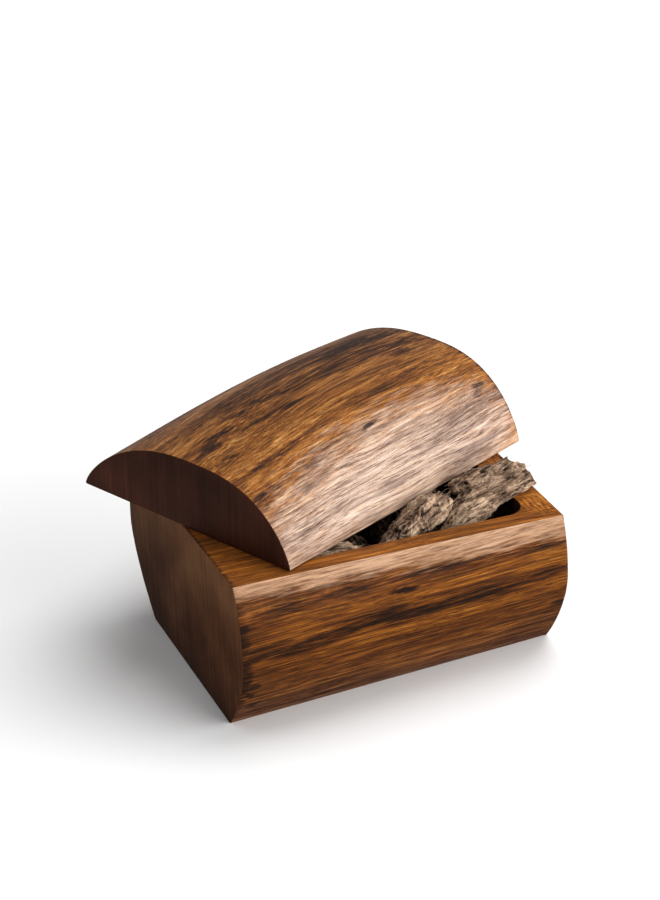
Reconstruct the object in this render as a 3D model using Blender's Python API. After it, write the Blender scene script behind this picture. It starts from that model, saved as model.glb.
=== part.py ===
"""A log-shaped wooden box with its domed lid laid askew on the rim, and a heap of agarwood pieces inside.

Units are metres. The origin is the middle of the box's flat foot, +Z is up, +X runs along the grain of the box
and -Y is the side that the box is seen from.
"""

import math

import bmesh
import bpy
from mathutils import Euler, Matrix, Vector, noise
from mathutils.bvhtree import BVHTree

# Box, cut from a log that lies along X
BOX_LENGTH = 0.160
BOX_HEIGHT = 0.0729  # foot to rim, at mid length
RIM_SLOPE = -0.0387  # rise of the rim plane per metre along X
RIM_HALF_WIDTH = 0.0613
FOOT_HALF_WIDTH = 0.048
BULGE_HEIGHT = 0.0408  # the log is widest here
BULGE_FRONT = 0.0689
BULGE_BACK = 0.0747
BULGE_TAPER = 0.002  # how much slimmer each side is at the +X end
UPPER_CURVE = 2.46  # exponents of the log's outline above and below its widest line
LOWER_CURVE = 1.67
LEFT_CUT_SKEW = 0.0168  # shift of each end cut along X per metre of Y
RIGHT_CUT_SKEW = 0.0419

# Hollow routed into the box
WELL_LEFT = -0.0575
WELL_RIGHT = 0.0650
WELL_HALF_WIDTH = 0.0520
WELL_FLOOR = 0.0200
WELL_CORNER = 0.010
WELL_COVE = 0.005  # fillet between the walls and the floor
CUTTER_RISE = 0.020  # how far the cutter stands above the rim

# Lid, the top slab of the log, laid across the rim
LID_LENGTH = 0.1638
LID_WIDTH = 0.1232
LID_WIDENING = 0.002  # extra width at the far end
LID_RISE = 0.0325  # height of the dome at the near end
LID_RISE_GAIN = 0.0056  # extra height at the far end
LID_SWELL = 0.0062  # extra height of the dome at mid length
LID_LEAN = 0.1055  # sideways shift of the crown
LID_OUTLINE = (2.569, 1.334)  # exponents of the dome's outline
LID_CORNER = (-0.0539, -0.0593)  # where the lid's near front corner touches the rim plane
LID_TURN = math.radians(24.97)

EDGE_EASE = 0.0006
EASED_ANGLE = math.radians(40)  # edges sharper than this are eased
GAP = 0.0003  # between pieces that rest on each other
LOWERING_STEP = 0.0005

SIDE_STEPS = 11  # facets from foot to bulge, and from bulge to rim
LID_STEPS = 28  # facets across the dome
LID_STATIONS = 9  # sections along the lid
CORNER_STEPS = 6
COVE_STEPS = 3

# Agarwood pieces. A limb is a list of stations (along, across, up, width, thickness) in millimetres, and a piece
# is its limbs grown together. A dent is (along, across, up, radius) in millimetres: a ball pressed in.
MM = 0.001
LIMB_SIDES = 12
GROWTH_VOXEL = 0.0013
FLUTE_DEPTH = 0.0022
FLUTE_LIFT = 0.00055  # keeps the mean surface where the limb's is
FLUTE_PITCH = 0.0052  # across the grain
FLUTE_RUN = 0.030  # along the grain
LUMP_DEPTH = 0.0016
LUMP_PITCH = 0.0105
LUMP_LAYERS = 3  # each layer half as wide as the last
SEED_STRIDE = Vector((3.7, 1.3, 2.1))  # how far the noise is shifted from one seed to the next

FORKED = {
    "limbs": [
        [(-33, -7, -8, 7, 5), (-28, -7, -8, 14, 9), (-18, -5, -4, 16, 12), (-6, -2, -1, 17, 12), (4, -1, 0, 17, 10),
         (11, -1, 2, 17, 7), (16, -2, 3, 17, 6), (23, -4, 3, 16, 6)],
        [(-9, 11, 2, 4, 4), (-5, 10, 2, 8, 7), (1, 8, 3, 11, 9), (9, 5, 4, 12, 7), (20, 3, 5, 11, 9)],
    ],
    "dents": [(-7, 5, 5, 4.0), (2, 2, 9, 3.5), (14, 3, 11, 3.5), (-16, -14, 3, 4.0), (12, -12, 6, 3.5)],
}
RIBBED = {
    "limbs": [
        [(-19, -1, -3, 4, 3), (-16, 0, -2, 11, 8), (-8, 0, 0, 16, 12), (3, 0, 0, 18, 12), (13, 1, 0, 17, 11),
         (20, 1, 0, 12, 8)],
        [(-10, -4, 3, 4, 4), (-1, -3, 4, 7, 6), (9, -1, 4, 8, 6), (16, 2, 3, 6, 5)],
    ],
    "dents": [(13, 8, 6, 3.5), (-11, 6, 6, 4.0), (3, 10, 4, 3.5)],
}
KNUCKLE = {
    "limbs": [
        [(-20, -2, 0, 5, 4), (-15, -2, 0, 12, 9), (-5, 0, 1, 17, 12), (7, 2, 0, 18, 13), (16, 1, -1, 12, 9),
         (19, 1, -1, 6, 5)],
    ],
    "dents": [(0, 6, 9, 4.0), (10, -7, 6, 4.0)],
}
SPLINTER = {
    "limbs": [
        [(-27, 2, -1, 6, 5), (-17, 0, 0, 16, 11), (-2, -2, 1, 22, 14), (13, -1, 0, 18, 12), (25, 3, -1, 8, 7)],
    ],
    "dents": [(-10, 6, 9, 4.5), (10, -8, 8, 4.5), (21, 5, 6, 3.5)],
}
BLOCK = {
    "limbs": [
        [(-26, 0, 0, 15, 12), (-22, 0, 0, 22, 18), (-8, 1, 0, 28, 21), (8, -1, 0, 29, 22), (20, 0, 0, 23, 18),
         (26, 2, -1, 14, 11)],
    ],
    "dents": [(-8, 8, 13, 5.0), (12, -8, 13, 5.0), (0, 15, 5, 4.0)],
}
CHUNK = {
    "limbs": [
        [(-17, 0, 0, 12, 11), (-12, 1, 0, 19, 17), (0, 0, 0, 22, 19), (11, -1, 0, 18, 16), (17, 0, -1, 11, 10)],
    ],
    "dents": [(4, 4, 12, 4.0), (-9, -5, 11, 4.0)],
}
BRANCHED = {
    "limbs": [
        [(-26, -4, 0, 10, 8), (-14, -2, 0, 19, 15), (2, 0, 0, 23, 18), (17, -1, 0, 16, 13), (26, -3, 1, 8, 7)],
        [(0, 2, 1, 12, 10), (8, 10, 2, 9, 8), (14, 16, 3, 5, 5)],
    ],
    "dents": [(-8, 5, 10, 4.5), (10, -7, 9, 4.0)],
}

# A piece: name, form, where its middle is in x and y, the height it is lowered from (mm), its turns about X, Y
# and Z (degrees), its seed and its number of triangles. They lie as a heap thrown in by hand, lowest first.
HEAP = [
    ("agarwood_piece_14", BLOCK, (-29, -34), 45, (3, 0, 5), 11, 380),
    ("agarwood_piece_13", BLOCK, (33, -33), 45, (-4, 2, -6), 12, 380),
    ("agarwood_piece_12", BRANCHED, (-27, -1), 45, (0, -2, 8), 13, 400),
    ("agarwood_piece_11", BLOCK, (34, 2), 45, (4, 0, 6), 14, 380),
    ("agarwood_piece_10", SPLINTER, (-25, 36), 45, (0, 2, -6), 15, 380),
    ("agarwood_piece_9", BLOCK, (34, 36), 45, (3, -2, 3), 16, 380),
    ("agarwood_piece_8", SPLINTER, (46, -7), 60, (4, -3, 84), 17, 380),
    ("agarwood_piece_7", SPLINTER, (20, -2), 60, (-5, -3, 84), 18, 380),
    ("agarwood_piece_6", CHUNK, (-36, -35), 60, (4, -5, 22), 19, 380),
    ("agarwood_piece_5", SPLINTER, (30, 31), 60, (-6, 4, 172), 20, 380),
    ("agarwood_piece_4", SPLINTER, (-7.5, -23), 60, (0, -4, 86), 21, 380),
    ("agarwood_piece_3", KNUCKLE, (-33, -41), 80, (-6, -2, -8), 22, 520),
    ("agarwood_piece_1", FORKED, (53, -31), 100, (7, -5, 14), 23, 900),
    ("agarwood_piece_2", RIBBED, (16, -36), 100, (4, -18, 19), 24, 900),
]


def profile_half_width(height, rim_height, bulge):
    """Half width of the log at a height above the foot, on a side that bulges this far."""
    if height < BULGE_HEIGHT:
        drop = (BULGE_HEIGHT - height) / BULGE_HEIGHT
        return FOOT_HALF_WIDTH + (bulge - FOOT_HALF_WIDTH) * (1 - drop**LOWER_CURVE)
    climb = (height - BULGE_HEIGHT) / (rim_height - BULGE_HEIGHT)
    return RIM_HALF_WIDTH + (bulge - RIM_HALF_WIDTH) * (1 - climb**UPPER_CURVE)


def rim_height_at(x):
    """Height of the rim plane, which falls a little towards +X."""
    return BOX_HEIGHT + RIM_SLOPE * x


def box_section(end):
    """Outline of one end of the box, from the front of the foot up over the rim to the back of the foot."""
    skew = LEFT_CUT_SKEW if end < 0 else RIGHT_CUT_SKEW
    slimmer = BULGE_TAPER if end > 0 else 0.0
    rim = rim_height_at(end * BOX_LENGTH / 2)
    below = [BULGE_HEIGHT * step / SIDE_STEPS for step in range(SIDE_STEPS)]
    above = [BULGE_HEIGHT + (rim - BULGE_HEIGHT) * step / SIDE_STEPS for step in range(SIDE_STEPS + 1)]
    points = []
    for side, bulge, heights in ((-1, BULGE_FRONT, below + above), (1, BULGE_BACK, (below + above)[::-1])):
        for height in heights:
            y = side * profile_half_width(height, rim, bulge - slimmer)
            points.append(Vector((end * BOX_LENGTH / 2 + skew * y, y, height)))
    return points


def lid_section(share):
    """Outline of the lid at a share of its length, in the lid's own frame: x along, y across, z up."""
    width = LID_WIDTH + LID_WIDENING * share
    rise = LID_RISE + LID_RISE_GAIN * share + LID_SWELL * math.sin(math.pi * share)
    outer, inner = LID_OUTLINE
    points = []
    for step in range(LID_STEPS + 1):
        across = 2 * step / LID_STEPS - 1
        leaned = across + LID_LEAN * (1 - across * across)
        height = rise * max(0.0, 1 - abs(leaned) ** outer) ** (1 / inner)
        points.append(Vector((share * LID_LENGTH, width * step / LID_STEPS, height)))
    return points


def rounded_rectangle(low, high, corner, height):
    """Outline of the hollow at one height, counter-clockwise seen from above."""
    points = []
    for quarter, (x, y) in enumerate(((high[0], high[1]), (low[0], high[1]), (low[0], low[1]), (high[0], low[1]))):
        middle = Vector((x - math.copysign(corner, x), y - math.copysign(corner, y), height))
        for step in range(CORNER_STEPS + 1):
            angle = math.radians(90 * (quarter + step / CORNER_STEPS))
            points.append(middle + corner * Vector((math.cos(angle), math.sin(angle), 0)))
    return points


def lofted(name, rings):
    """A closed solid through rings of equal numbers of points, capped at both ends."""
    shape = bmesh.new()
    rows = [[shape.verts.new(point) for point in ring] for ring in rings]
    for lower, upper in zip(rows, rows[1:]):
        for i in range(len(lower)):
            j = (i + 1) % len(lower)
            shape.faces.new((lower[i], lower[j], upper[j], upper[i]))
    shape.faces.new(rows[0][::-1])
    shape.faces.new(rows[-1])
    bmesh.ops.recalc_face_normals(shape, faces=shape.faces)
    return object_from(name, shape)


def object_from(name, shape):
    mesh = bpy.data.meshes.new(name)
    shape.to_mesh(mesh)
    shape.free()
    piece = bpy.data.objects.new(name, mesh)
    bpy.context.scene.collection.objects.link(piece)
    return piece


def wood(name, colour, roughness):
    material = bpy.data.materials.new(name)
    material.use_nodes = True
    shader = material.node_tree.nodes["Principled BSDF"]
    shader.inputs["Base Color"].default_value = (*colour, 1.0)
    shader.inputs["Roughness"].default_value = roughness
    shader.inputs["Metallic"].default_value = 0.0
    return material


def ease_edges(piece):
    """Rounds over the sawn edges as light sanding does."""
    ease = piece.modifiers.new("Eased edges", "BEVEL")
    ease.width = EDGE_EASE
    ease.segments = 1
    ease.limit_method = "ANGLE"
    ease.angle_limit = EASED_ANGLE


def make_box(material):
    """The log section with its two sawn ends, its flat foot and rim, and the hollow."""
    box = lofted("box_body", [box_section(-1), box_section(1)])
    low = (WELL_LEFT, -WELL_HALF_WIDTH)
    high = (WELL_RIGHT, WELL_HALF_WIDTH)
    rings = []
    for step in range(COVE_STEPS + 1):
        angle = math.radians(90 * step / COVE_STEPS)
        inset = WELL_COVE * (1 - math.sin(angle))
        rings.append(
            rounded_rectangle(
                (low[0] + inset, low[1] + inset),
                (high[0] - inset, high[1] - inset),
                WELL_CORNER - inset,
                WELL_FLOOR + WELL_COVE * (1 - math.cos(angle)),
            )
        )
    rings.append(rounded_rectangle(low, high, WELL_CORNER, BOX_HEIGHT + CUTTER_RISE))
    cutter = lofted("well_cutter", rings)
    cutter.hide_render = True
    cutter.display_type = "WIRE"
    hollow = box.modifiers.new("Well", "BOOLEAN")
    hollow.operation = "DIFFERENCE"
    hollow.solver = "EXACT"
    hollow.object = cutter
    ease_edges(box)
    box.data.materials.append(material)
    return box


def make_lid(material):
    """The domed slab, flat on the rim plane and turned askew."""
    lid = lofted("lid", [lid_section(station / (LID_STATIONS - 1)) for station in range(LID_STATIONS)])
    x, y = LID_CORNER
    lid.location = (x, y, rim_height_at(x) + GAP)
    lean = Matrix.Rotation(-math.atan(RIM_SLOPE), 4, "Y")
    lid.rotation_euler = (lean @ Matrix.Rotation(LID_TURN, 4, "Z")).to_euler()
    ease_edges(lid)
    lid.data.materials.append(material)
    return lid


def limb_rings(limb):
    """Oval rings across a limb at its stations."""
    middles = [Vector(station[:3]) * MM for station in limb]
    turns = [2 * math.pi * side / LIMB_SIDES for side in range(LIMB_SIDES)]
    rings = []
    for i, (_, _, _, width, thickness) in enumerate(limb):
        ahead = (middles[min(i + 1, len(limb) - 1)] - middles[max(i - 1, 0)]).normalized()
        sideways = Vector((0, 0, 1)).cross(ahead).normalized()
        upward = ahead.cross(sideways)
        across = sideways * width * MM / 2
        above = upward * thickness * MM / 2
        rings.append([middles[i] + across * math.cos(turn) + above * math.sin(turn) for turn in turns])
    return rings


def weathered(point, normal, seed):
    """A point of the smooth limb moved to the surface of old, resin-rich wood: long flutes and soft lumps."""
    shift = seed * SEED_STRIDE
    grain = Vector((point.x / FLUTE_RUN, point.y / FLUTE_PITCH, point.z / FLUTE_PITCH))
    flutes = FLUTE_LIFT - FLUTE_DEPTH * abs(noise.noise(grain + shift))
    lumps = LUMP_DEPTH * noise.fractal(point / LUMP_PITCH + shift, 1.0, 2.0, LUMP_LAYERS)
    return point + normal * (flutes + lumps)


def dented(point, dents):
    """The point, pushed out of every ball that it lies in."""
    for x, y, z, radius in dents:
        away = point - Vector((x, y, z)) * MM
        if away.length < radius * MM:
            point = point + away.normalized() * (radius * MM - away.length)
    return point


def make_piece(name, form, seed, triangles, material):
    """One agarwood piece about its own middle, its grain along X."""
    grown = bmesh.new()
    for limb in form["limbs"]:
        part = lofted("limb", limb_rings(limb))
        grown.from_mesh(part.data)
        bpy.data.objects.remove(part)
    piece = object_from(name, grown)
    knit = piece.modifiers.new("Grown together", "REMESH")
    knit.mode = "VOXEL"
    knit.voxel_size = GROWTH_VOXEL
    piece.data = applied_mesh(piece)
    piece.modifiers.clear()
    rough = [weathered(v.co, v.normal, seed) for v in piece.data.vertices]
    for vertex, point in zip(piece.data.vertices, rough):
        vertex.co = dented(point, form["dents"])
    thin = piece.modifiers.new("Fewer facets", "DECIMATE")
    thin.ratio = triangles / (2 * len(piece.data.polygons))
    piece.data = applied_mesh(piece)
    piece.modifiers.clear()
    piece.data.materials.append(material)
    return piece


def applied_mesh(piece):
    bpy.context.view_layer.update()
    evaluated = piece.evaluated_get(bpy.context.evaluated_depsgraph_get())
    return bpy.data.meshes.new_from_object(evaluated)


def surface_tree(piece):
    """The piece's surface in world space, for finding where two pieces meet."""
    bpy.context.view_layer.update()
    evaluated = piece.evaluated_get(bpy.context.evaluated_depsgraph_get())
    mesh = evaluated.to_mesh()
    mesh.transform(evaluated.matrix_world)
    tree = BVHTree.FromPolygons([v.co.copy() for v in mesh.vertices], [tuple(p.vertices) for p in mesh.polygons])
    evaluated.to_mesh_clear()
    return tree


def lower_onto(piece, supports):
    """Lowers the piece from where it is until it would touch a support, and leaves the gap."""
    while not any(surface_tree(piece).overlap(support) for support in supports):
        piece.location.z -= LOWERING_STEP
    while any(surface_tree(piece).overlap(support) for support in supports):
        piece.location.z += LOWERING_STEP / 4
    piece.location.z += GAP


def make_heap(box, material):
    """Lowers the pieces into the box one after another."""
    supports = [surface_tree(box)]
    for name, form, (x, y), height, turns, seed, triangles in HEAP:
        piece = make_piece(name, form, seed, triangles, material)
        piece.location = Vector((x, y, height)) * MM
        piece.rotation_euler = Euler([math.radians(turn) for turn in turns])
        lower_onto(piece, supports)
        supports.append(surface_tree(piece))


def main():
    for thing in list(bpy.data.objects):
        bpy.data.objects.remove(thing)
    stained = wood("stained_hardwood", (0.20, 0.095, 0.035), 0.45)
    agarwood = wood("agarwood", (0.30, 0.23, 0.17), 0.85)
    box = make_box(stained)
    make_lid(stained)
    make_heap(box, agarwood)


main()
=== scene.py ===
import math
import bmesh
import bpy
import numpy as np
from mathutils import Euler, Matrix, Vector, noise


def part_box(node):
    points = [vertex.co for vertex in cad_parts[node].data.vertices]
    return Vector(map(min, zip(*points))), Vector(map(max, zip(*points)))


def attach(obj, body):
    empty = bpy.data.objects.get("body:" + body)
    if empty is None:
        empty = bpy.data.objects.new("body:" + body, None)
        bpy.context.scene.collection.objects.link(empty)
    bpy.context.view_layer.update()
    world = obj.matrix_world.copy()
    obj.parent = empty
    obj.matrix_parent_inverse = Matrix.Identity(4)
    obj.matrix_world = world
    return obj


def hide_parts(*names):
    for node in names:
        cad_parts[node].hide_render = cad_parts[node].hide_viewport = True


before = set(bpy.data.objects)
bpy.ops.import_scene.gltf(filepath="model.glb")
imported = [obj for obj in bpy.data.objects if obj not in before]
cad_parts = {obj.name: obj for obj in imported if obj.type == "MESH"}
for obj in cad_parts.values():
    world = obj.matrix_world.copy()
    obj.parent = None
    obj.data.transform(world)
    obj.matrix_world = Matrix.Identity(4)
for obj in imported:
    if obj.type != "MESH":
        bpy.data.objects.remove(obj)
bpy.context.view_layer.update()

mm = 0.001

# The kinds of node used most
mathNode = "ShaderNodeMath"
vectorNode = "ShaderNodeVectorMath"
noiseNode = "ShaderNodeTexNoise"
rangeNode = "ShaderNodeMapRange"
attributeNode = "ShaderNodeAttribute"


def meshObject(name, points, faces):
    mesh = bpy.data.meshes.new(name)
    mesh.from_pydata([tuple(p) for p in points], [], faces)
    mesh.validate()
    piece = bpy.data.objects.new(name, mesh)
    bpy.context.scene.collection.objects.link(piece)
    return piece


def faceOutward(mesh):
    shape = bmesh.new()
    shape.from_mesh(mesh)
    bmesh.ops.recalc_face_normals(shape, faces=shape.faces)
    shape.to_mesh(mesh)
    shape.free()


def loft(name, rings):
    # closed skin through equal rings, with a flat cap on each end
    count = len(rings[0])
    faces = []
    for row in range(len(rings) - 1):
        for i in range(count):
            j = (i + 1) % count
            faces.append((row * count + i, row * count + j, (row + 1) * count + j, (row + 1) * count + i))
    faces.append(tuple(range(count - 1, -1, -1)))
    faces.append(tuple(range((len(rings) - 1) * count, len(rings) * count)))
    piece = meshObject(name, np.concatenate(rings), faces)
    faceOutward(piece.data)
    return piece


def finished(piece, name):
    # the object as its modifiers make it, as one plain mesh at the origin
    bpy.context.view_layer.update()
    evaluated = piece.evaluated_get(bpy.context.evaluated_depsgraph_get())
    mesh = bpy.data.meshes.new_from_object(evaluated)
    mesh.transform(piece.matrix_world)
    mesh.name = name
    plain = bpy.data.objects.new(name, mesh)
    bpy.context.scene.collection.objects.link(plain)
    bpy.data.objects.remove(piece)
    return plain


def linearColour(hexCode):
    channels = [int(hexCode[i:i + 2], 16) / 255 for i in (1, 3, 5)]
    return (*[c / 12.92 if c <= 0.04045 else ((c + 0.055) / 1.055) ** 2.4 for c in channels], 1)


def addNode(tree, kind, inputs=(), **options):
    # adds a node, sets or links its inputs, and gives back its first output
    node = tree.nodes.new(kind)
    for spot, (position, hexCode) in enumerate(options.pop("stops", ())):
        stops = node.color_ramp.elements
        stop = stops[spot] if spot < len(stops) else stops.new(1)
        stop.position = position
        stop.color = linearColour(hexCode)
    for option, value in options.items():
        setattr(node, option, value)
    for slot, value in inputs.items() if isinstance(inputs, dict) else enumerate(inputs):
        if isinstance(value, bpy.types.NodeSocket):
            tree.links.new(value, node.inputs[slot])
        else:
            node.inputs[slot].default_value = value
    return node.outputs[0] if node.outputs else None


def summed(tree, start, *layers):
    # adds each layer times its weight to the start value
    total = start
    for layer, weight in layers:
        total = addNode(tree, mathNode, [layer, weight, total], operation="MULTIPLY_ADD")
    return total


def startTree(name, **inputs):
    # a tree with named inputs of each kind and one geometry output, and what its inputs give
    tree = bpy.data.node_groups.new(name, "GeometryNodeTree")
    for kind, labels in inputs.items():
        for label in labels:
            tree.interface.new_socket(label, in_out="INPUT", socket_type="NodeSocket" + kind)
    tree.interface.new_socket("Geometry", in_out="OUTPUT", socket_type="NodeSocketGeometry")
    return tree, tree.nodes.new("NodeGroupInput").outputs


def endTree(tree, geometry, finish):
    real = addNode(tree, "GeometryNodeRealizeInstances", [geometry])
    dressed = addNode(tree, "GeometryNodeSetMaterial", {"Geometry": real, "Material": finish})
    addNode(tree, "NodeGroupOutput", [dressed])
    return tree


def growWithTree(piece, tree, values):
    # puts the tree on the piece, with its inputs set by their identifiers
    growth = piece.modifiers.new("Shape", "NODES")
    growth.node_group = tree
    for socket in tree.interface.items_tree:
        if socket.in_out == "INPUT" and socket.name in values:
            growth[socket.identifier] = values[socket.name]
    return piece


# The log section that the box is made of. Sizes in mm, the same as the solid that it stands for
boxShape = {
    "length": 160.0,
    "rimHeight": 72.9,  # at mid length
    "rimSlope": -0.0387,  # the rim falls a little towards +X
    "rimHalf": 61.3,
    "footHalf": 48.0,
    "bulgeHeight": 40.8,
    "bulgeFront": 68.9,
    "bulgeBack": 74.7,
    "bulgeTaper": 2.0,
    "upperCurve": 2.46,
    "lowerCurve": 1.67,
    "cutSkew": (0.0168, 0.0419),  # left and right saw cuts
    "edgeEase": 0.7,
    "edgeSteps": 3,
    "rimEase": 0.55,
    "rimEaseSteps": 2,
    "rimEaseAngle": 42,  # only edges that turn by more degrees are eased
    "stations": 72,
    "pitchAcross": 0.62,
    "flankStretch": 1.12,  # a flank is this much longer than the rim is high
    "undulation": 0.28,  # sanding left the surface this uneven
    "sunkShare": 0.25,  # the surface lies this share of it below the solid
    "proudest": 0.02,  # and rises no further above it
    "fibreRelief": 0.05,
    "plainMargin": 2.5,  # the relief fades out this near the foot and the rim
    "tearDepth": 1.2,  # fibres torn out where the saw left the wood
    "tearReach": 4.0,
    "tearRun": 9.0,
    "tearPitch": 1.9,
    "tearLevel": 0.08,
    "tearPatchRun": 40.0,
    "tearPatchPitch": 13.0,
    "tearPatches": (0.35, 1.6),  # how torn the end is on average, and how much that varies
    "closeStations": 9,  # near each end, to hold the torn edge
}

# Waves left by hand sanding: run along the grain and pitch across it, in mm
sanding = {
    "slow": (60.0, 17.0),
    "faint": (30.0, 6.0),
    "faintShare": 0.35,
    "thread": (22.0, 0.9),
}


def rimHeight(x):
    return boxShape["rimHeight"] + boxShape["rimSlope"] * x


def logHalfWidth(height, rim, bulge):
    s = boxShape
    if height < s["bulgeHeight"]:
        drop = (s["bulgeHeight"] - height) / s["bulgeHeight"]
        return s["footHalf"] + (bulge - s["footHalf"]) * (1 - drop ** s["lowerCurve"])
    climb = (height - s["bulgeHeight"]) / (rim - s["bulgeHeight"])
    return s["rimHalf"] + (bulge - s["rimHalf"]) * (1 - climb ** s["upperCurve"])


def logRing(share, inset, push):
    # an outline of the log at a share of its length, pulled in by inset and moved by push along the grain
    s = boxShape
    leftRim = rimHeight(-s["length"] / 2)
    rim = leftRim + (rimHeight(s["length"] / 2) - leftRim) * share
    points = []
    for side, bulge in ((-1, s["bulgeFront"]), (1, s["bulgeBack"])):
        bulge -= s["bulgeTaper"] * share
        heights = np.linspace(0, rim, int(s["rimHeight"] * s["flankStretch"] / s["pitchAcross"]))
        column = []
        for z in heights:
            half = logHalfWidth(z, rim, bulge)
            column.append([side * (half - inset), inset + z * (1 - 2 * inset / rim)])
        points += column if side < 0 else column[::-1]
    ring = np.zeros((len(points), 3))
    ring[:, 1:] = points
    leftCut = -s["length"] / 2 + s["cutSkew"][0] * ring[:, 1]
    rightCut = s["length"] / 2 + s["cutSkew"][1] * ring[:, 1]
    ring[:, 0] = leftCut * (1 - share) + rightCut * share + push
    return ring


def sandedSurface(point, depth, fibre):
    # how far the hand-sanded surface stands off its mean, in mm
    x, y, z = point
    run, pitch = sanding["slow"]
    slow = noise.noise(Vector((x / run, y / pitch, z / pitch)))
    run, pitch = sanding["faint"]
    faint = noise.noise(Vector((x / run, y / pitch + 9, z / pitch)))
    run, pitch = sanding["thread"]
    thread = noise.noise(Vector((x / run, y / pitch, z / pitch + 4)))
    return depth * (slow + sanding["faintShare"] * faint) + fibre * thread


def tornDepth(x, unrolled):
    # how deep the saw tore the fibres out, in mm
    s = boxShape
    fromEnd = s["length"] / 2 - abs(x)
    torn = noise.noise(Vector((x / s["tearRun"], unrolled / s["tearPitch"], 5))) - s["tearLevel"]
    level, spread = s["tearPatches"]
    patch = noise.noise(Vector((x / s["tearPatchRun"], unrolled / s["tearPatchPitch"], 2)))
    torn *= max(0, level + spread * patch)
    return s["tearDepth"] * max(0, torn) * max(0, 1 - fromEnd / s["tearReach"])


def makeBox():
    s = boxShape
    rings = []
    ease = s["edgeEase"]
    turns = [math.radians(90 * step / s["edgeSteps"]) for step in range(s["edgeSteps"])]
    for turn in turns:
        rings.append(logRing(0, ease * (1 - math.sin(turn)), ease * (1 - math.cos(turn))))
    nearEnd = np.linspace(ease, s["tearReach"] + 1, s["closeStations"])
    middle = np.linspace(s["tearReach"] + 1, s["length"] - s["tearReach"] - 1, s["stations"])
    for reach in [*nearEnd, *middle[1:-1], *(s["length"] - nearEnd[::-1])]:
        rings.append(logRing(reach / s["length"], 0, 0))
    for turn in turns[::-1]:
        rings.append(logRing(1, ease * (1 - math.sin(turn)), -ease * (1 - math.cos(turn))))
    for ring in rings:
        rim = ring[:, 2].max()
        for point in ring:
            fade = min(1, point[2] / s["plainMargin"], (rim - point[2]) / s["plainMargin"])
            outward = 1 if point[1] > 0 else -1
            torn = tornDepth(point[0], outward * point[2])
            lift = sandedSurface(point, s["undulation"], s["fibreRelief"]) - s["sunkShare"] * s["undulation"]
            point[1] += outward * fade * (min(lift, s["proudest"]) - torn)
    box = loft("boxRough", [ring * mm for ring in rings])
    cutter = makeWellCutter()
    cut = box.modifiers.new("Well", "BOOLEAN")
    cut.operation = "DIFFERENCE"
    cut.solver = "EXACT"
    cut.object = cutter
    eased = box.modifiers.new("Eased rim", "BEVEL")
    eased.width = s["rimEase"] * mm
    eased.segments = s["rimEaseSteps"]
    eased.limit_method = "ANGLE"
    eased.angle_limit = math.radians(s["rimEaseAngle"])
    box = finished(box, "boxBody")
    bpy.data.objects.remove(cutter)
    return box


# The hollow, cut with a router, in mm
wellShape = {
    "left": -57.5,
    "right": 65.0,
    "half": 52.0,
    "floor": 20.0,
    "corner": 10.0,
    "cove": 5.0,
    "cornerSteps": 14,
    "coveSteps": 6,
    "aboveRim": 20.0,
}


def makeWellCutter():
    w = wellShape
    levels = []
    for step in range(w["coveSteps"] + 1):
        turn = math.radians(90 * step / w["coveSteps"])
        levels.append((w["cove"] * (1 - math.sin(turn)), w["floor"] + w["cove"] * (1 - math.cos(turn))))
    levels.append((0, boxShape["rimHeight"] + w["aboveRim"]))
    rings = []
    for inset, height in levels:
        ring = []
        corners = [(w["right"], 1), (w["left"], 1), (w["left"], -1), (w["right"], -1)]
        for quarter, (x, side) in enumerate(corners):
            cx = x - math.copysign(w["corner"], x)
            cy = side * (w["half"] - w["corner"])
            for step in range(w["cornerSteps"] + 1):
                turn = math.radians(90 * (quarter + step / w["cornerSteps"]))
                radius = w["corner"] - inset
                ring.append((cx + radius * math.cos(turn), cy + radius * math.sin(turn), height))
        rings.append(np.array(ring) * mm)
    return loft("wellCutter", rings)


# The lid, laid askew on the rim. In mm, its turn in degrees
lidShape = {
    "length": 163.8,
    "width": 123.2,
    "widening": 2.0,
    "rise": 32.5,
    "riseGain": 5.6,
    "swell": 6.2,
    "lean": 0.1055,
    "outerPower": 2.569,
    "innerPower": 1.334,
    "edgeEase": 0.6,
    "undulation": 0.5,
    "fibreRelief": 0.06,
    "wave": (55.0, 15.0),  # run and pitch of the undulation
    "waveMean": 0.62,
    "fibre": (22.0, 1.1),
    "fibreMean": 0.6,
    "corner": (-53.9, -59.3),
    "turn": 24.97,
    "gap": 0.3,
    "stations": 74,
    "across": 230,
    "easeSteps": 4,
}


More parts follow.
